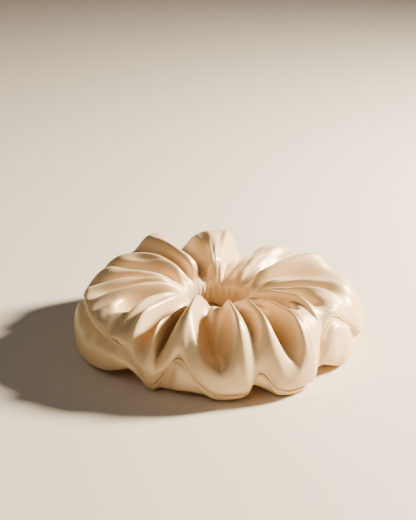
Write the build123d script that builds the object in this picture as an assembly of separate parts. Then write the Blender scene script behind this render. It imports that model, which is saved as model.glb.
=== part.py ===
"""Gathered satin hair scrunchie: a puffed fabric sleeve on a lapped and stitched elastic ring.

Millimetres. +Z is up, along the ring's axis. The origin is on the surface that the scrunchie rests on,
under the centre of the ring. -Y is the held side, and +Y the side that is pulled when the ring is stretched.

The sleeve, the elastic and the long seam each go all the way round. Each is made in two nodes, one on each
side of the plane Y = 0, so that the ring can be pulled open along Y.
"""

import os
from math import asin, cos, degrees, hypot, radians, sin

from build123d import *

# Whole scrunchie, relaxed
overall_diameter = 110.0
overall_height = 33.0
opening_radius = 11.5
grip_length = 10.0
split_gap = 0.3

# Satin sleeve: a base ring with rounded puffs round it
puff_radius = 17.0
puff_angles = [5, 41, 77, 113, 149, 185, 220, 257, 293, 331]
rim_radius = 52.0
base_bottom, base_top = 4.0, 28.0
rim_rounding = 11.5
fabric_wall = 1.0

# Seam allowance inside the outer edge, and the long seam through it
seam_height = 16.0
allowance_thickness = 0.6
allowance_inner_radius = 45.0
seam_radius = 49.5
seam_stitches = 120
thread_radius = 0.13
stitch_gap = 0.3
thread_leg_gap = 0.01

# Flat braided elastic
elastic_channel_radius = 17.0
channel_rounding = 4.0
elastic_play = 0.4
elastic_width = 6.0
elastic_thickness = 1.2
rubber_side = 0.6
rubber_count = 5
rubber_clearance = 0.02
lap_gap = 0.05
lap_half_angle = 19.0
lap_ramp_angles = (52.0, 66.0)

# Stitching of the lap and of the sleeve's closing seam
lap_stitches = 12
lap_stitch_margin = 1.0
lap_end_angle = 4.0
lap_stitch_gap_angle = 0.35
lap_leg_overlap = 0.2
closing_angle = 95.0
closing_stitch_pitch = 3.0
closing_stitch_share = (0.08, 0.72)
closing_leg_share = 0.7
closing_gather_margin = 2.0

ring_height = (base_bottom + base_top) / 2
puff_ring_radius = overall_diameter / 2 - puff_radius
puff_height = overall_height - puff_radius
elastic_inner_radius = elastic_channel_radius + elastic_play
elastic_bottom = ring_height - elastic_width / 2
lap_step = elastic_thickness + lap_gap


def polar(radius, angle, height=0.0):
    """A point from its radius, its angle in degrees and its height."""
    return Vector(radius * cos(radians(angle)), radius * sin(radians(angle)), height)


def section_ring(inner_radius, outer_radius, bottom, top, inner_rounding, outer_rounding):
    """A ring of rounded rectangular section."""
    width, height = outer_radius - inner_radius, top - bottom
    middle = Pos((inner_radius + outer_radius) / 2, (bottom + top) / 2)
    face = Plane.XZ * middle * Rectangle(width, height)
    face = fillet(face.vertices().sort_by(Axis.X)[:2], inner_rounding)
    face = fillet(face.vertices().sort_by(Axis.X)[-2:], outer_rounding)
    return revolve(face, Axis.Z)


def puffs(radius):
    """The rounded puffs of the gathered fabric, at the given radius."""
    return [Pos(*polar(puff_ring_radius, a, puff_height)) * Sphere(radius) for a in puff_angles]


def above(height):
    """A block that holds everything above a height."""
    side = 2 * overall_diameter
    return Pos(0, 0, height) * Box(side, side, side, align=(Align.CENTER, Align.CENTER, Align.MIN))


def sleeve_outside():
    """The outer shape of the puffed sleeve, flat where it rests."""
    inner_rounding = (base_top - base_bottom - grip_length) / 2
    base = section_ring(opening_radius, rim_radius, base_bottom, base_top, inner_rounding, rim_rounding)
    return (base + puffs(puff_radius)) & above(0)


def sleeve_inside():
    """The hollow of the sleeve. Its inner wall is the bunched fabric that the elastic lies against."""
    base = section_ring(
        elastic_channel_radius,
        rim_radius - fabric_wall,
        base_bottom + fabric_wall,
        base_top - fabric_wall,
        channel_rounding,
        rim_rounding - fabric_wall,
    )
    return (base + puffs(puff_radius - fabric_wall)) & above(fabric_wall)


def seam_allowance(outside):
    """The two raw edges of the strip, sewn together and turned in at the outer edge."""
    flange = Cylinder(overall_diameter, allowance_thickness) - Cylinder(
        allowance_inner_radius, allowance_thickness
    )
    return (Pos(0, 0, seam_height) * flange) & outside


def satin_sleeve():
    """The whole fabric tube."""
    outside = sleeve_outside()
    return (outside - sleeve_inside()) + seam_allowance(outside)


def halves(shape):
    """The held and the pulled part of a shape, either side of the plane Y = 0."""
    side = 2 * overall_diameter
    low = (Align.CENTER, Align.MAX, Align.CENTER)
    high = (Align.CENTER, Align.MIN, Align.CENTER)
    held = shape & (Pos(0, -split_gap / 2, 0) * Box(side, side, side, align=low))
    pulled = shape & (Pos(0, split_gap / 2, 0) * Box(side, side, side, align=high))
    return held, pulled


def stitch(start, end, into, leg):
    """One stitch: a float of thread from start to end, with a leg at each end going into the cloth."""
    away = into.normalized() * leg
    path = FilletPolyline(start + away, start, end, end + away, radius=2 * thread_radius)
    section = Plane(origin=start + away, z_dir=-away) * Circle(thread_radius)
    return sweep(section, path=path)


def strip(inner, outer, first, last, bottom, height):
    """An arc of strip, standing on its edge, from one angle to another."""
    middle = (first + last) / 2
    outline = [
        ThreePointArc(polar(inner, first), polar(inner, middle), polar(inner, last)),
        Line(polar(inner, last), polar(outer, last)),
        ThreePointArc(polar(outer, last), polar(outer, middle), polar(outer, first)),
        Line(polar(outer, first), polar(inner, first)),
    ]
    return Pos(0, 0, bottom) * extrude(make_face(outline), height)


def ramped_strip(inner, outer, first, last, bottom, height):
    """As strip, but it steps out by one layer between the ramp's angles, and lies on the other end."""
    ramp_in, ramp_out = lap_ramp_angles
    low, high = (first + ramp_in) / 2, (ramp_out + last) / 2
    raised_in, raised_out = inner + lap_step, outer + lap_step
    outline = [
        ThreePointArc(polar(inner, first), polar(inner, low), polar(inner, ramp_in)),
        Line(polar(inner, ramp_in), polar(raised_in, ramp_out)),
        ThreePointArc(polar(raised_in, ramp_out), polar(raised_in, high), polar(raised_in, last)),
        Line(polar(raised_in, last), polar(raised_out, last)),
        ThreePointArc(polar(raised_out, last), polar(raised_out, high), polar(raised_out, ramp_out)),
        Line(polar(raised_out, ramp_out), polar(outer, ramp_in)),
        ThreePointArc(polar(outer, ramp_in), polar(outer, low), polar(outer, first)),
        Line(polar(outer, first), polar(inner, first)),
    ]
    return Pos(0, 0, bottom) * extrude(make_face(outline), height)


def elastic_layers(inset, bottom, height):
    """The elastic's held half, and the two ends that lap in the pulled half, drawn in by inset."""
    inner, outer = elastic_inner_radius + inset, elastic_inner_radius + elastic_thickness - inset
    cut = degrees(asin(split_gap / 2 / inner))
    held = strip(inner, outer, 180 + cut, 360 - cut, bottom, height)
    under = strip(inner, outer, 90 - lap_half_angle, 180 - cut, bottom, height)
    over = ramped_strip(inner, outer, cut, 90 + lap_half_angle, bottom, height)
    return [held], [under, over]


def elastic():
    """The braided cover and the rubber threads in it, for the held and for the pulled side."""
    covers = elastic_layers(0.0, elastic_bottom, elastic_width)
    inset = (elastic_thickness - rubber_side) / 2
    pitch = elastic_width / rubber_count
    rubbers = ([], [])
    for i in range(rubber_count):
        low = elastic_bottom + pitch * (i + 0.5) - rubber_side / 2
        room = elastic_layers(inset - rubber_clearance, low - rubber_clearance,
                              rubber_side + 2 * rubber_clearance)
        for side, made in enumerate(elastic_layers(inset, low, rubber_side)):
            rubbers[side].extend(made)
            covers[side][:] = [cover - cut for cover, cut in zip(covers[side], room[side])]
    return covers, rubbers


def long_seam(direction):
    """One of the seam's two threads, on the upper (1) or the lower (-1) side of the allowance."""
    pitch = 360 / seam_stitches
    gap_angle = degrees(stitch_gap / 2 / seam_radius)
    level = seam_height + direction * (allowance_thickness / 2 + thread_radius)
    into = Vector(0, 0, -direction)
    leg = allowance_thickness / 2 + thread_radius - thread_leg_gap
    start = polar(seam_radius, gap_angle, level)
    end = polar(seam_radius, pitch - gap_angle, level)
    one = stitch(start, end, into, leg)
    held, pulled = [], []
    for i in range(seam_stitches):
        placed = Rot(0, 0, i * pitch) * one
        (pulled if i < seam_stitches / 2 else held).append(placed)
    return held, pulled


def lap_stitching():
    """Zigzag through both layers of the lapped elastic, with a float on each face in turn."""
    first = 90 - lap_half_angle + lap_end_angle
    last = 90 + lap_half_angle - lap_end_angle
    heights = (elastic_bottom + lap_stitch_margin, elastic_bottom + elastic_width - lap_stitch_margin)
    outer = elastic_inner_radius + elastic_thickness + lap_step + thread_radius
    inner = elastic_inner_radius - thread_radius
    leg = elastic_thickness / 2 + lap_leg_overlap
    made = []
    for i in range(lap_stitches):
        a = first + (last - first) * i / lap_stitches + lap_stitch_gap_angle
        b = first + (last - first) * (i + 1) / lap_stitches - lap_stitch_gap_angle
        low, high = heights[i % 2], heights[(i + 1) % 2]
        radial = polar(1, (a + b) / 2)
        made.append(stitch(polar(outer, a, low), polar(outer, b, high), -radial, leg))
        made.append(stitch(polar(inner, a, low), polar(inner, b, high), radial, leg))
    return made


def closing_seam(outside):
    """Hand stitches round the tube, where its two ends are closed into a ring.

    At the gather they sink into the pleats, so none stands in the opening.
    """
    outward = polar(1, closing_angle)
    cut = Plane(origin=(0, 0, 0), x_dir=outward, z_dir=polar(1, closing_angle + 90))
    size = 4 * overall_diameter
    face = (cut * Rectangle(size, size)) & outside
    loop = next(f.outer_wire() for f in face.faces() if f.center().dot(outward) > 0)
    count = round(loop.length / closing_stitch_pitch)
    begin, finish = closing_stitch_share
    middle = polar((opening_radius + rim_radius) / 2, closing_angle, ring_height)
    made = []
    for i in range(count):
        a = loop.position_at((i + begin) / count)
        b = loop.position_at((i + finish) / count)
        if min(hypot(a.X, a.Y), hypot(b.X, b.Y)) < opening_radius + closing_gather_margin:
            continue
        into = (middle - (a + b) / 2).normalized()
        lift = into * -thread_radius
        made.append(stitch(a + lift, b + lift, into, fabric_wall * closing_leg_share))
    return made


def write(name, shapes):
    """One STEP file for each node."""
    solids = [s for shape in shapes for s in shape.solids()]
    export_step(Compound(children=solids) if len(solids) > 1 else solids[0], f"parts/{name}.step")


def main():
    os.makedirs("parts", exist_ok=True)
    sides = ("held", "pulled")
    for side, half in zip(sides, halves(satin_sleeve())):
        write(f"satin_sleeve_{side}", [half])
    covers, rubbers = elastic()
    needle, bobbin = long_seam(1), long_seam(-1)
    for i, side in enumerate(sides):
        write(f"elastic_cover_{side}", covers[i])
        write(f"rubber_threads_{side}", rubbers[i])
        write(f"seam_needle_thread_{side}", needle[i])
        write(f"seam_bobbin_thread_{side}", bobbin[i])
    write("elastic_lap_stitching", lap_stitching())
    write("closing_seam_thread", closing_seam(sleeve_outside()))


main()
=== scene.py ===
import math

import bpy
import numpy as np
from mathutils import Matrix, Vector


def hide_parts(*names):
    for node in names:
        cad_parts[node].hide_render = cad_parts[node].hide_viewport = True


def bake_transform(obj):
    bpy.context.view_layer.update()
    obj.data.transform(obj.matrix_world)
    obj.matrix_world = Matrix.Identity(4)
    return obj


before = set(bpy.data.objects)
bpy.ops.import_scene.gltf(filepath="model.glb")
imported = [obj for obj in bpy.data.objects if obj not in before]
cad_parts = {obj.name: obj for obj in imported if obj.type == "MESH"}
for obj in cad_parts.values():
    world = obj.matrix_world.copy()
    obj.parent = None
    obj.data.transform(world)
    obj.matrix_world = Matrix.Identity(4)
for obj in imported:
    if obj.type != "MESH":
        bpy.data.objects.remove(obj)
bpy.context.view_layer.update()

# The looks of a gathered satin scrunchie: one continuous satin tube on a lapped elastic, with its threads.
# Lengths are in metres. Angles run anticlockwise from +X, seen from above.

MM = 0.001

# Satin strip, as sewn into a tube and laid flat
flat_tube_width = 0.044
strip_length = 0.41

# The sleeve's shape
gather_radius = 12.0 * MM
middle_height = 16.0 * MM
top_rise = 9.0 * MM
bottom_drop = 13.4 * MM
edge_rise = 3.8 * MM
edge_drop = 4.4 * MM
edge_bulge = 1.6 * MM
panel_bulge = 3.0 * MM
lowest_seam, highest_seam = 3.0 * MM, 21.0 * MM
lowest_cloth = 0.25 * MM
highest_cloth = 34.0 * MM
crest_fullness = 1.45
section_fullness = 0.78
edge_begins = 0.60
outer_slope = 0.30
upper_fill = 0.6
lower_fill = 2.0
pocket_fullness = 0.72
pocket_rim = 0.17
pocket_rounding = 0.10
pocket_lip = 2.4 * MM
pocket_side = 0.45
crest_overhang = 5.0 * MM
overhanging_lift = 5.5 * MM
front_overhang_loss = 0.8
front_delay = 0.22
fold_lean = 2.8 * MM
fold_turning = 1.5
wrinkle_depth = 0.45 * MM
fine_pleats = 31
fine_pleat_depth = 0.28 * MM
pleat_depth_at_gather = 0.6
pleat_evenness = 0.65

# Changes across the panel: where each begins, from 0 at the gather to 1 at the outer edge, and its width
crest_change = (-0.03, 0.17)
trough_change = (0.16, 0.22)
slope_change = (0.45, 0.45)
upper_bulge_change = (0.55, 0.35)
lower_bulge_change = (0.42, 0.35)
wrinkle_change = (0.0, 0.3)
overhang_in_change = (0.0, 0.07)
overhang_out_ends, overhang_out_width = 0.42, 0.35
pleats_end = 0.4

# Folds of the upper panel: angle at the outer edge, angle at the gather, lift in millimetres, start, reach.
# Crests and troughs take turns. Start and reach, from 0 at the gather to 1 at the edge, are where a trough
# opens and where it closes into a pocket: 0 and 1 leave it open at both ends.
TOP_FOLDS = [
    (186, 190, 3.5, 0.0, 1.0),
    (192, 197, -1.0, 0.0, 1.0),
    (200, 205, 4.0, 0.0, 1.0),
    (214, 215, -11.0, 0.0, 0.62),
    (223, 221, 3.2, 0.0, 1.0),
    (228, 227, 2.2, 0.0, 1.0),
    (234, 232, 3.2, 0.0, 1.0),
    (239, 239, -8.5, 0.0, 0.84),
    (242, 242, 0.5, 0.0, 1.0),
    (245, 246, -12.0, 0.0, 1.0),
    (255, 256, 4.5, 0.0, 1.0),
    (272, 267, -12.0, 0.0, 0.72),
    (281, 279, 4.5, 0.0, 1.0),
    (286, 286, -4.5, 0.0, 1.0),
    (292, 292, 4.0, 0.0, 1.0),
    (298, 298, -11.0, 0.38, 0.82),
    (306, 305, 4.4, 0.0, 1.0),
    (312, 315, -9.0, 0.0, 0.40),
    (319, 324, 4.6, 0.0, 1.0),
    (327, 332, -1.0, 0.0, 1.0),
    (335, 340, 3.4, 0.0, 1.0),
    (343, 347, 1.0, 0.0, 1.0),
    (353, 354, 4.0, 0.0, 1.0),
    (368, 368, -2.5, 0.0, 1.0),
    (385, 384, 4.0, 0.0, 1.0),
    (397, 397, -3.0, 0.0, 1.0),
    (412, 413, 1.5, 0.0, 1.0),
    (437, 436, -9.0, 0.0, 1.0),
    (445, 445, 5.4, 0.0, 1.0),
    (450, 450, 6.4, 0.0, 1.0),
    (456, 456, 5.9, 0.0, 1.0),
    (471, 471, -3.5, 0.0, 1.0),
    (487, 485, 7.0, 0.0, 1.0),
    (499, 497, 1.0, 0.0, 1.0),
    (511, 510, 4.0, 0.0, 1.0),
    (521, 521, -1.0, 0.0, 1.0),
    (531, 532, 3.0, 0.0, 1.0),
    (539, 541, -2.0, 0.0, 1.0),
]

# The long seam at the outer edge: angle, height and radius in millimetres. From 372 it is out of sight.
SEAM = [
    (189.0, 21.0, 50.0),
    (207.0, 19.5, 50.0),
    (222.0, 17.8, 50.0),
    (228.0, 16.0, 50.0),
    (234.0, 10.8, 50.0),
    (242.0, 4.6, 49.5),
    (248.0, 10.5, 49.0),
    (254.0, 16.5, 48.5),
    (260.0, 10.5, 49.5),
    (267.0, 5.2, 50.0),
    (273.0, 3.8, 50.0),
    (281.0, 3.8, 50.0),
    (287.0, 10.8, 49.5),
    (295.0, 4.0, 51.0),
    (308.0, 3.0, 51.5),
    (312.5, 5.2, 50.0),
    (321.0, 17.0, 48.5),
    (328.0, 22.0, 49.0),
    (336.0, 18.0, 51.0),
    (346.0, 8.5, 54.0),
    (354.0, 7.5, 55.0),
    (372.0, 18.0, 52.0),
    (393.0, 5.0, 51.0),
    (414.0, 18.0, 50.0),
    (436.0, 5.0, 51.0),
    (457.0, 19.0, 49.5),
    (480.0, 5.0, 51.0),
    (502.0, 20.0, 51.0),
    (524.0, 8.0, 51.0),
]

# Folds of the lower panel: angle and lift in millimetres. It is nearest the floor where the lift is lowest.
UNDER_FOLDS = [
    (200.0, -1.4),
    (216.0, 1.0),
    (229.0, 5.0),
    (242.0, -0.6),
    (254.0, 1.6),
    (266.0, -0.8),
    (277.0, -1.2),
    (287.0, 3.6),
    (298.0, -1.0),
    (309.0, -1.2),
    (321.0, 3.0),
    (335.0, -1.0),
    (352.0, -1.2),
    (367.0, 4.0),
    (380.0, -1.0),
    (396.0, -1.4),
    (412.0, 4.6),
    (425.0, -1.0),
    (439.0, -1.2),
    (456.0, 5.0),
    (470.0, -0.6),
    (483.0, -1.4),
    (501.0, 4.2),
    (515.0, -1.0),
    (528.0, -1.4),
    (543.0, 3.0),
]

# Cloth simulation, made larger so that the solver works at garment scale
sim_scale = 20.0
sim_frames = 26
sim_growth = 0.07
sim_around = 300
sim_across = 48
sim_cap = 5.0 * MM
smoothing_passes = 3
seam_hold_rows = 7.0
cap_change = (0.1, 0.5)

# Final mesh of the sleeve, with extra rows of points close to the seam, at these distances in millimetres
mesh_around = 620
mesh_across = 104
rows_by_seam = [0.35, 0.7, 1.05, 1.4, 1.8, 2.3]
even_rows_begin = 2.8 * MM
ditch_depth = 0.75 * MM
ditch_half_width = 0.42 * MM
lip_rise = 0.28 * MM
lip_offset = 1.3 * MM
lip_width_share = 0.6

# Elastic, threads and stitches
elastic_radius = 18.0 * MM
elastic_width = 6.0 * MM
elastic_thickness = 1.2 * MM
elastic_height = 16.0 * MM
lap_step = 1.25 * MM
lap_start, lap_finish = 71.0, 469.0
lap_ramp = (412.0, 426.0)
rubber_side = 0.6 * MM
rubber_count = 5
thread_radius = 0.13 * MM
seam_stitches = 120
seam_inset = 2.2 * MM
tube_core_radius = 32.0 * MM
seam_thread_gap = 0.42 * MM
lap_stitches = 12
closing_angle = 95.0
closing_stitches = 36
closing_sink = 0.45
closing_gather_margin = 2.0 * MM

# Camera, light and floor
view_elevation = 22.0
view_distance = 0.386
lens_mm = 70.0
sensor_mm = 36.0
aim_left = 3.4 * MM
aim_up = 34.0 * MM


def ease(x):
    """Smooth step from 0 to 1."""
    x = np.clip(x, 0.0, 1.0)
    return x * x * (3.0 - 2.0 * x)


def change(s, where):
    """Smooth step from 0 to 1 at s, for a change given by the place where it begins and its width."""
    begins, width = where
    return ease((s - begins) / width)


def camera():
    """Looks along +Y from a little above, with the scrunchie low in the picture."""
    elevation = math.radians(view_elevation)
    data = bpy.data.cameras.new("camera")
    data.lens = lens_mm
    data.sensor_width = sensor_mm
    data.sensor_fit = "AUTO"
    made = bpy.data.objects.new("camera", data)
    target = Vector((-aim_left, 0.0, aim_up))
    back = Vector((0.0, -math.cos(elevation), math.sin(elevation)))
    made.location = target + back * view_distance
    made.rotation_euler = (target - made.location).to_track_quat("-Z", "Y").to_euler()
    bpy.context.scene.collection.objects.link(made)
    bpy.context.scene.camera = made


def top_folds(theta, angles):
    """Lift of the upper panel's folds, and the start, reach and nearness of the trough beside it."""
    count = len(angles)
    wrapped = (theta - angles[0]) % 360.0 + angles[0]
    turns = np.interp(wrapped, np.append(angles, angles[0] + 360.0), np.arange(count + 1))
    k = np.minimum(np.floor(turns).astype(int), count - 1)
    t = turns - k
    lifts = np.array([f[2] for f in TOP_FOLDS]) * MM
    starts = np.array([f[3] for f in TOP_FOLDS])
    reaches = np.array([f[4] for f in TOP_FOLDS])
    crest_first = k % 2 == 0
    nearness = np.where(crest_first, t, 1.0 - t)
    trough = np.where(crest_first, k + 1, k)
    fullness = np.where(reaches[trough] < 1.0, pocket_fullness, crest_fullness)
    t = np.where(crest_first, t**fullness, 1.0 - (1.0 - t) ** fullness)
    before, after = lifts[k], lifts[(k + 1) % count]
    lift = before + (after - before) * (1.0 - np.cos(np.pi * t)) / 2.0
    return lift, starts[trough], reaches[trough], nearness


def through(theta, angles, values):
    """Values on a smooth closed curve through every point of a table."""
    angles = np.asarray(angles, dtype=float)
    values = np.asarray(values, dtype=float)
    ahead = np.append(angles[1:], angles[0] + 360.0) - angles
    rise = (np.roll(values, -1) - values) / ahead
    slope = (rise + np.roll(rise, 1)) / 2.0
    turning = rise * np.roll(rise, 1) <= 0.0
    slope = np.where(turning, 0.0, slope)
    wrapped = (theta - angles[0]) % 360.0 + angles[0]
    k = np.searchsorted(angles, wrapped, side="right") - 1
    after = (k + 1) % len(angles)
    t = (wrapped - angles[k]) / ahead[k]
    start = values[k] * (1.0 + 2.0 * t) * (1.0 - t) ** 2 + slope[k] * ahead[k] * t * (1.0 - t) ** 2
    finish = values[after] * t**2 * (3.0 - 2.0 * t) + slope[after] * ahead[k] * t**2 * (t - 1.0)
    return start + finish


def top_lift(theta, s):
    """Height that the folds add to the upper panel, s being 0 at the gather and 1 at the outer edge."""
    edge = np.array([f[0] for f in TOP_FOLDS])
    gather = np.array([f[1] for f in TOP_FOLDS])
    angles = edge + (gather - edge) * (1.0 - s) ** fold_turning
    lift, start, reach, nearness = top_folds(theta, angles)
    rounding = pocket_rounding * (1.0 - nearness)
    before = np.where(start > 0.0, ease((start - s + rounding) / pocket_rim), 0.0)
    beyond = np.where(reach < 1.0, ease((s - reach + rounding) / pocket_rim), 0.0)
    closed = np.maximum(before, beyond) * ease(nearness / pocket_side)
    return lift + (pocket_lip - lift) * closed


def under_lift(theta):
    """Height that the folds add to the lower panel: low where it rests, high where it arches up."""
    return through(theta, [f[0] for f in UNDER_FOLDS], [f[1] for f in UNDER_FOLDS]) * MM


def wrinkles(theta, s, up):
    """Small uneven height changes over the folds."""
    a = np.radians(theta)
    first = np.sin(23.0 * a + 9.0 * s + 2.0 * up) * np.sin(5.0 * a + 1.3)
    second = np.sin(37.0 * a - 7.0 * s + 0.6) * np.sin(3.0 * a - 6.0 * s)
    return wrinkle_depth * (first + second)


def sleeve_grid(around, across):
    """The folded sleeve before it settles: a grid of points, round the ring and round the tube."""
    theta = np.arange(around) * 360.0 / around
    grid = np.zeros((around, across, 3))
    seam_angles = [f[0] for f in SEAM]
    seam_z = through(theta, seam_angles, [f[1] for f in SEAM]) * MM
    seam_r = through(theta, seam_angles, [f[2] for f in SEAM]) * MM
    pleats = np.sin(np.radians(fine_pleats * theta) + 1.7 * np.sin(np.radians(3.0 * theta)))
    pleats = pleats * (pleat_evenness + (1.0 - pleat_evenness) * np.sin(np.radians(7.0 * theta) + 0.4))
    inner_r = gather_radius + pleat_depth_at_gather * fine_pleat_depth * pleats
    front = (1.0 - np.sin(np.radians(theta))) / 2.0
    for j in range(across):
        phi = math.pi - 2.0 * math.pi * j / across
        out, up = math.cos(phi), math.sin(phi)
        s = (1.0 + math.copysign(abs(out) ** section_fullness, out)) / 2.0
        rise = math.copysign(abs(up) ** section_fullness, up)
        crest_depth = ease((s - crest_change[0]) / (crest_change[1] + front_delay * front))
        trough_depth = change(s, trough_change)
        edge = ease((s - edge_begins) / (1.0 - edge_begins))
        pleat = fine_pleat_depth * pleats * max(0.0, 1.0 - s / pleats_end)
        uneven = wrinkles(theta, s, up) * change(s, wrinkle_change)
        lift = top_lift(theta, s)
        lift = np.maximum(lift, 0.0) * crest_depth + np.minimum(lift, 0.0) * trough_depth
        lift = lift * (1.0 - outer_slope * change(s, slope_change))
        if up >= 0:
            body = middle_height + top_rise * rise + lift + pleat + uneven
            rim = seam_z + edge_rise * rise
        else:
            body = middle_height + bottom_drop * rise + under_lift(theta) * trough_depth - pleat
            rim = seam_z + edge_drop * rise
        z = body * (1.0 - edge) + rim * edge
        seam_level = np.clip((seam_z - lowest_seam) / (highest_seam - lowest_seam), 0.0, 1.0)
        facing = 1.0 - seam_level if up >= 0 else seam_level
        bulge_change = upper_bulge_change if up >= 0 else lower_bulge_change
        bulge = (edge_bulge + panel_bulge * facing) * abs(up) * change(s, bulge_change)
        fill = facing * (upper_fill if up >= 0 else lower_fill)
        r = inner_r + (seam_r - inner_r) * (1.0 - (1.0 - s) ** (1.0 + fill)) + bulge
        over_gather = max(up, 0.0) * change(s, overhang_in_change)
        over_gather = over_gather * ease((overhang_out_ends - s) / overhang_out_width)
        over_gather = over_gather * (1.0 - front_overhang_loss * front)
        r = r - crest_overhang * over_gather * ease(lift / overhanging_lift)
        lean = -np.cos(np.radians(theta)) * fold_lean * lift / top_rise
        turned = np.radians(theta) + lean * (1.0 - edge) * max(up, 0.0) / r
        grid[:, j, 0] = r * np.cos(turned)
        grid[:, j, 1] = r * np.sin(turned)
        grid[:, j, 2] = np.maximum(z, lowest_cloth)
    return grid


def grid_faces(around, across):
    """Quads of a grid that closes both ways, facing out of the tube."""
    i, j = np.meshgrid(np.arange(around), np.arange(across), indexing="ij")
    k, m = (i + 1) % around, (j + 1) % across
    corners = (i * across + j, i * across + m, k * across + m, k * across + j)
    return np.stack([c.ravel() for c in corners], axis=1)


def mesh_object(name, points, faces, smooth=True):
    """A linked mesh object."""
    mesh = bpy.data.meshes.new(name)
    mesh.from_pydata(np.asarray(points).reshape(-1, 3).tolist(), [], [list(map(int, f)) for f in faces])
    mesh.polygons.foreach_set("use_smooth", [smooth] * len(mesh.polygons))
    mesh.update()
    made = bpy.data.objects.new(name, mesh)
    bpy.context.scene.collection.objects.link(made)
    return made


def settle(grid):
    """Cloth simulation: the satin grows a little, puffs out and settles a short way from its folds.

    The gather and the seam are held. The movement is smoothed, and capped.
    """
    around, across = grid.shape[:2]
    cloth = mesh_object("settling_cloth", grid * sim_scale, grid_faces(around, across))
    held = cloth.vertex_groups.new(name="gathered")
    seam_row = across // 2
    held_rows = [0, 1, 2, 3, seam_row, across - 3, across - 2, across - 1]
    held.add([i * across + j for i in range(around) for j in held_rows], 1.0, "REPLACE")
    floor = mesh_object(
        "settling_floor",
        np.array([[-4, -4, 0], [4, -4, 0], [4, 4, 0], [-4, 4, 0]], dtype=float),
        [(0, 1, 2, 3)],
    )
    floor.modifiers.new("floor", "COLLISION")
    floor.collision.thickness_outer = 0.005
    modifier = cloth.modifiers.new("cloth", "CLOTH")
    fabric = modifier.settings
    fabric.quality = 7
    fabric.mass = 0.25
    fabric.tension_stiffness = 15
    fabric.compression_stiffness = 15
    fabric.shear_stiffness = 6
    fabric.bending_stiffness = 1.2
    fabric.tension_damping = 12
    fabric.compression_damping = 12
    fabric.air_damping = 4
    fabric.vertex_group_mass = "gathered"
    fabric.shrink_min = -sim_growth
    fabric.use_pressure = True
    fabric.uniform_pressure_force = 0.12
    fabric.effector_weights.gravity = 0.15
    modifier.collision_settings.distance_min = 0.004
    modifier.collision_settings.use_self_collision = True
    modifier.collision_settings.self_distance_min = 0.006
    modifier.point_cache.frame_start = 1
    modifier.point_cache.frame_end = sim_frames
    scene = bpy.context.scene
    for step in range(1, sim_frames + 1):
        scene.frame_set(step)
    settled = cloth.evaluated_get(bpy.context.evaluated_depsgraph_get()).to_mesh()
    flat = np.zeros(len(settled.vertices) * 3)
    settled.vertices.foreach_get("co", flat)
    moved = flat.reshape(grid.shape) / sim_scale - grid
    for used in (cloth, floor):
        bpy.data.objects.remove(used, do_unlink=True)
    scene.frame_set(1)
    for _ in range(smoothing_passes):
        for axis in (0, 1):
            moved = (np.roll(moved, 1, axis=axis) + 2.0 * moved + np.roll(moved, -1, axis=axis)) / 4.0
    length = np.linalg.norm(moved, axis=2, keepdims=True)
    rows = np.arange(across)
    s = (1.0 - np.cos(2.0 * np.pi * rows / across)) / 2.0
    free_of_seam = ease(np.abs(rows - seam_row) / seam_hold_rows)
    cap = (sim_cap * change(s, cap_change) * free_of_seam)[None, :, None]
    return grid + moved * np.minimum(1.0, cap / np.maximum(length, 1e-9))


def resample(grid, places, axis):
    """Cubic resampling of a closed grid, at places from 0 to 1 along an axis."""
    count = grid.shape[axis]
    x = np.asarray(places) * count
    base = np.floor(x).astype(int)
    shape = [1, 1, 1]
    shape[axis] = len(x)
    t = (x - base).reshape(shape)
    p0, p1, p2, p3 = (np.take(grid, (base + k) % count, axis=axis) for k in (-1, 0, 1, 2))
    return p1 + 0.5 * t * (p2 - p0 + t * (2 * p0 - 5 * p1 + 4 * p2 - p3 + t * (3 * (p1 - p2) + p3 - p0)))


def normals(grid):
    """Outward unit normals of a closed grid."""
    round_ring = np.roll(grid, -1, axis=0) - np.roll(grid, 1, axis=0)
    round_tube = np.roll(grid, -1, axis=1) - np.roll(grid, 1, axis=1)
    n = np.cross(round_tube, round_ring)
    return n / np.maximum(np.linalg.norm(n, axis=2, keepdims=True), 1e-12)


def across_places():
    """Places round the tube, closer together at the seam on the outer edge."""
    near = np.array(rows_by_seam) * MM / (2.0 * flat_tube_width)
    even = np.arange(mesh_across) / mesh_across
    even = even[np.abs(even - 0.5) > even_rows_begin / (2.0 * flat_tube_width)]
    return np.sort(np.concatenate([even, [0.5], 0.5 - near, 0.5 + near]))


def satin_sleeve():
    """The satin tube, with the sewn ditch of its long seam at the outer edge."""
    grid = sleeve_grid(sim_around, sim_across)
    grid = settle(grid)
    places = across_places()
    grid = resample(resample(grid, np.arange(mesh_around) / mesh_around, 0), places, 1)
    away = np.abs(places - 0.5) * 2.0 * flat_tube_width
    ditch = -ditch_depth * np.exp(-((away / ditch_half_width) ** 2))
    lips = lip_rise * np.exp(-(((away - lip_offset) / (lip_width_share * lip_offset)) ** 2))
    outward = normals(grid)
    out_at_seam = outward[:, [int(np.argmin(away))]]
    grid = grid + outward * lips[None, :, None] + out_at_seam * ditch[None, :, None]
    grid[:, :, 2] = np.clip(grid[:, :, 2], lowest_cloth, highest_cloth)
    sleeve = mesh_object("satin_sleeve", grid, grid_faces(*grid.shape[:2]))
    strip_map(sleeve, len(grid), places)
    return sleeve, grid, places


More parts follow.
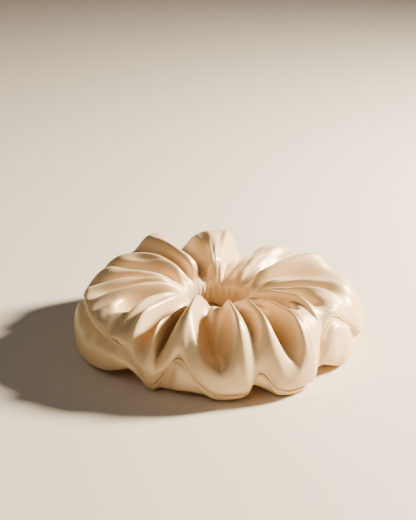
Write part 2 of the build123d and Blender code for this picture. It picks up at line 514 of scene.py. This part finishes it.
def strip_map(sleeve, around, places):
    """A map of the flat strip, in metres, for the weave."""
    across = len(places)
    layer = sleeve.data.uv_layers.new(name="strip")
    i, j = np.meshgrid(np.arange(around), np.arange(across), indexing="ij")
    ends = np.append(places, 1.0)
    u0, u1 = i * strip_length / around, (i + 1) * strip_length / around
    v0, v1 = ends[j] * 2 * flat_tube_width, ends[j + 1] * 2 * flat_tube_width
    corners = [(u0, v0), (u0, v1), (u1, v1), (u1, v0)]
    uv = np.stack([np.stack([u, v], axis=-1) for u, v in corners], axis=2)
    layer.data.foreach_set("uv", uv.reshape(-1))


def tube(path, radius, sides=6):
    """Points and faces of a round thread with closed ends."""
    path = [Vector(p) for p in path]
    points, faces = [], []
    for i, p in enumerate(path):
        ahead = (path[min(i + 1, len(path) - 1)] - path[max(i - 1, 0)]).normalized()
        side = ahead.orthogonal().normalized()
        other = ahead.cross(side)
        for k in range(sides):
            a = 2.0 * math.pi * k / sides
            points.append(p + (side * math.cos(a) + other * math.sin(a)) * radius)
    for i in range(len(path) - 1):
        for k in range(sides):
            a, b = i * sides + k, i * sides + (k + 1) % sides
            faces.append((a, b, b + sides, a + sides))
    last = (len(path) - 1) * sides
    faces.append(tuple(range(sides - 1, -1, -1)))
    faces.append(tuple(range(last, last + sides)))
    return points, faces


def joined(name, parts):
    """One object from several sets of points and faces."""
    points, faces = [], []
    for part_points, part_faces in parts:
        shift = len(points)
        points.extend(part_points)
        faces.extend(tuple(v + shift for v in face) for face in part_faces)
    return mesh_object(name, np.array([list(p) for p in points]), faces)


def strip_radius(angle):
    """Radius of the elastic's middle: it steps out by one layer where its end laps over its start."""
    rise = np.clip((angle - lap_ramp[0]) / (lap_ramp[1] - lap_ramp[0]), 0.0, 1.0)
    return elastic_radius + lap_step * rise


def band(low, high, thickness, steps, rows, relief):
    """A flat strip on its edge, from the start of the lap round to its end, with a relief on both faces."""
    points, faces = [], []
    side = [(t, 1.0) for t in np.linspace(0, 1, rows)] + [(t, -1.0) for t in np.linspace(1, 0, rows)]
    for i in range(steps + 1):
        angle = lap_start + (lap_finish - lap_start) * i / steps
        middle = strip_radius(angle)
        for t, face in side:
            z = low + (high - low) * t
            r = middle + face * (thickness / 2 - relief * (0.5 + 0.5 * braid(angle, t)))
            points.append((r * math.cos(math.radians(angle)), r * math.sin(math.radians(angle)), z))
    count = len(side)
    for i in range(steps):
        for k in range(count):
            a, b = i * count + k, i * count + (k + 1) % count
            faces.append((a, a + count, b + count, b))
    faces.append(tuple(range(count)))
    faces.append(tuple(steps * count + k for k in range(count - 1, -1, -1)))
    return points, faces


def braid(angle, t):
    """Herringbone relief of a braided elastic, from -1 to 1."""
    ribs = math.cos(2 * math.pi * 8 * t)
    yarns = math.cos(math.radians(angle) * 90 + (1 if ribs > 0 else -1) * 3.0 * t)
    return 0.6 * ribs + 0.4 * yarns


def elastic_pieces():
    """The braided cover, the rubber threads in it and the zigzag through its lap."""
    low = elastic_height - elastic_width / 2
    cover = joined("elastic_cover", [band(low, low + elastic_width, elastic_thickness, 720, 17, 0.09 * MM)])
    pitch = elastic_width / rubber_count
    threads = []
    for k in range(rubber_count):
        bottom = low + pitch * (k + 0.5) - rubber_side / 2
        threads.append(band(bottom, bottom + rubber_side, rubber_side, 240, 2, 0.0))
    rubber = joined("rubber_threads", threads)
    return cover, rubber, lap_stitching(low)


def lap_stitching(low):
    """Zigzag floats on both faces of the lapped elastic."""
    first, last = lap_start + 4.0, 180.0 - lap_start - 4.0
    heights = (low + 1.0 * MM, low + elastic_width - 1.0 * MM)
    faces = (elastic_radius - elastic_thickness / 2, elastic_radius + elastic_thickness / 2 + lap_step)
    floats = []
    for i in range(lap_stitches):
        a, b = (first + (last - first) * (i + k) / lap_stitches for k in (0, 1))
        ends = (heights[i % 2], heights[(i + 1) % 2])
        for r in faces:
            path = []
            for t in np.linspace(0, 1, 6):
                angle = math.radians(a + (b - a) * t)
                path.append((r * math.cos(angle), r * math.sin(angle), ends[0] + (ends[1] - ends[0]) * t))
            floats.append(tube(path, thread_radius))
    return joined("lap_zigzag_stitches", floats)


def seam_threads(grid, places):
    """Needle and bobbin threads of the long seam, a little way in from its edge towards the tube's core."""
    edge = grid[:, int(np.argmin(np.abs(places - 0.5)))]
    core = edge * tube_core_radius / np.hypot(edge[:, 0], edge[:, 1])[:, None]
    core[:, 2] = middle_height
    inward = core - edge
    inward /= np.linalg.norm(inward, axis=1, keepdims=True)
    along = np.roll(edge, -1, axis=0) - np.roll(edge, 1, axis=0)
    aside = np.cross(inward, along)
    aside /= np.linalg.norm(aside, axis=1, keepdims=True)
    pieces = []
    for name, side in (("seam_needle_thread", 1.0), ("seam_bobbin_thread", -1.0)):
        line = edge + inward * seam_inset + aside * side * seam_thread_gap
        stitches = []
        for k in range(seam_stitches):
            begin = k * len(line) // seam_stitches
            finish = (k + 1) * len(line) // seam_stitches
            stitches.append(tube(line[begin:finish], thread_radius))
        pieces.append(joined(name, stitches))
    return pieces


def closing_seam(grid):
    """Small hand stitches round the tube where its two ends are closed into a ring."""
    ring = int(round(closing_angle / 360.0 * len(grid)))
    loop = grid[ring] - normals(grid)[ring] * thread_radius * closing_sink
    stitches = []
    for k in range(closing_stitches):
        begin = k * len(loop) // closing_stitches
        finish = begin + max(2, int(0.7 * len(loop) / closing_stitches))
        path = [loop[i % len(loop)] for i in range(begin, finish + 1)]
        if min(math.hypot(p[0], p[1]) for p in path) > gather_radius + closing_gather_margin:
            stitches.append(tube(path, thread_radius))
    return joined("closing_stitches", stitches)


def material(name, colour, roughness):
    """A Principled material, the nodes and links of its tree, and its shader."""
    made = bpy.data.materials.new(name)
    made.use_nodes = True
    shader = made.node_tree.nodes["Principled BSDF"]
    shader.inputs["Base Color"].default_value = (*colour, 1.0)
    shader.inputs["Roughness"].default_value = roughness
    return made, made.node_tree.nodes, made.node_tree.links, shader


def colour_ramp(nodes, stops):
    """A ramp between colours."""
    ramp = nodes.new("ShaderNodeValToRGB")
    ramp.color_ramp.elements[0].color = (*stops[0], 1.0)
    ramp.color_ramp.elements[1].color = (*stops[1], 1.0)
    return ramp


def satin_material():
    """Champagne satin: a fine float weave, a soft sheen and slight shade changes in the dye."""
    made, nodes, links, shader = material("champagne_satin", (0.60, 0.40, 0.20), 0.36)
    shader.inputs["Metallic"].default_value = 0.14
    shader.inputs["Anisotropic"].default_value = 0.5
    shader.inputs["Specular IOR Level"].default_value = 0.62
    shader.inputs["Sheen Weight"].default_value = 0.22
    shader.inputs["Sheen Roughness"].default_value = 0.35
    shader.inputs["Sheen Tint"].default_value = (1.0, 0.86, 0.68, 1.0)
    strip = nodes.new("ShaderNodeUVMap")
    strip.uv_map = "strip"
    clouds = nodes.new("ShaderNodeTexNoise")
    clouds.inputs["Scale"].default_value = 45.0
    clouds.inputs["Detail"].default_value = 3.0
    links.new(strip.outputs["UV"], clouds.inputs["Vector"])
    dye = colour_ramp(nodes, [(0.68, 0.455, 0.22), (0.80, 0.575, 0.31)])
    links.new(clouds.outputs["Fac"], dye.inputs["Fac"])
    links.new(dye.outputs["Color"], shader.inputs["Base Color"])
    stretch = nodes.new("ShaderNodeMapping")
    stretch.inputs["Scale"].default_value = (5200.0, 900.0, 1.0)
    links.new(strip.outputs["UV"], stretch.inputs["Vector"])
    floats = nodes.new("ShaderNodeTexNoise")
    floats.inputs["Scale"].default_value = 1.0
    floats.inputs["Detail"].default_value = 2.0
    links.new(stretch.outputs["Vector"], floats.inputs["Vector"])
    bump = nodes.new("ShaderNodeBump")
    bump.inputs["Strength"].default_value = 0.16
    bump.inputs["Distance"].default_value = 0.00008
    links.new(floats.outputs["Fac"], bump.inputs["Height"])
    links.new(bump.outputs["Normal"], shader.inputs["Normal"])
    gloss = nodes.new("ShaderNodeMapRange")
    gloss.inputs["To Min"].default_value = 0.36
    gloss.inputs["To Max"].default_value = 0.48
    links.new(floats.outputs["Fac"], gloss.inputs["Value"])
    links.new(gloss.outputs["Result"], shader.inputs["Roughness"])
    return made


def yarn_material(name, dark, light, roughness, scale):
    """Spun or braided yarn, or cut rubber: a fine grain in colour and height."""
    made, nodes, links, shader = material(name, light, roughness)
    place = nodes.new("ShaderNodeTexCoord")
    grain = nodes.new("ShaderNodeTexNoise")
    grain.inputs["Scale"].default_value = scale
    grain.inputs["Detail"].default_value = 4.0
    links.new(place.outputs["Object"], grain.inputs["Vector"])
    ramp = colour_ramp(nodes, [dark, light])
    links.new(grain.outputs["Fac"], ramp.inputs["Fac"])
    links.new(ramp.outputs["Color"], shader.inputs["Base Color"])
    bump = nodes.new("ShaderNodeBump")
    bump.inputs["Strength"].default_value = 0.4
    bump.inputs["Distance"].default_value = 0.00006
    links.new(grain.outputs["Fac"], bump.inputs["Height"])
    links.new(bump.outputs["Normal"], shader.inputs["Normal"])
    return made


def area_light(name, place, size, power, colour):
    """A soft light aimed at the scrunchie."""
    data = bpy.data.lights.new(name, "AREA")
    data.shape = "DISK"
    data.size = size
    data.energy = power
    data.color = colour
    made = bpy.data.objects.new(name, data)
    made.location = place
    made.rotation_euler = (Vector((0, 0, 0.015)) - Vector(place)).to_track_quat("-Z", "Y").to_euler()
    bpy.context.scene.collection.objects.link(made)


def studio():
    """A pale floor, a warm key from the right, a soft fill and a pale surround."""
    size = 6.0
    corners = np.array([[-size, -size, 0], [size, -size, 0], [size, size, 0], [-size, size, 0]])
    floor = mesh_object("floor", corners, [(0, 1, 2, 3)], smooth=False)
    paint = material("pale_floor", (0.745, 0.65, 0.52), 0.55)[0]
    floor.data.materials.append(paint)
    area_light("key", (0.60, 0.14, 0.36), 0.12, 38.0, (1.0, 0.90, 0.75))
    area_light("fill", (-0.30, -0.40, 0.60), 0.5, 0.9, (1.0, 0.95, 0.88))
    world = bpy.data.worlds.new("surround")
    world.use_nodes = True
    sky = world.node_tree.nodes["Background"]
    sky.inputs["Color"].default_value = (1.0, 0.94, 0.86, 1.0)
    sky.inputs["Strength"].default_value = 0.062
    bpy.context.scene.world = world


def finish_piece(piece, paint, nodes):
    """Paints a piece, bakes its transform, and hides the CAD nodes that it stands for."""
    piece.data.materials.append(paint)
    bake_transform(piece)
    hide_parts(*nodes)


def both_sides(name):
    """The names of a node's two halves."""
    return f"{name}_held", f"{name}_pulled"


def build():
    """The studio and the seven pieces, each with the CAD nodes that it stands for."""
    camera()
    studio()
    satin = satin_material()
    braid_paint = yarn_material("braided_polyester", (0.74, 0.69, 0.60), (0.90, 0.86, 0.79), 0.8, 2500.0)
    rubber_paint = yarn_material("natural_rubber", (0.66, 0.55, 0.38), (0.76, 0.66, 0.50), 0.6, 900.0)
    thread_paint = yarn_material("spun_thread", (0.66, 0.45, 0.24), (0.78, 0.57, 0.33), 0.55, 6000.0)
    sleeve, grid, places = satin_sleeve()
    cover, rubber, lap = elastic_pieces()
    needle, bobbin = seam_threads(grid, places)
    closing = closing_seam(grid)
    finish_piece(sleeve, satin, both_sides("satin_sleeve"))
    finish_piece(cover, braid_paint, both_sides("elastic_cover"))
    finish_piece(rubber, rubber_paint, both_sides("rubber_threads"))
    finish_piece(needle, thread_paint, both_sides("seam_needle_thread"))
    finish_piece(bobbin, thread_paint, both_sides("seam_bobbin_thread"))
    finish_piece(lap, thread_paint, ["elastic_lap_stitching"])
    finish_piece(closing, thread_paint, ["closing_seam_thread"])


build()
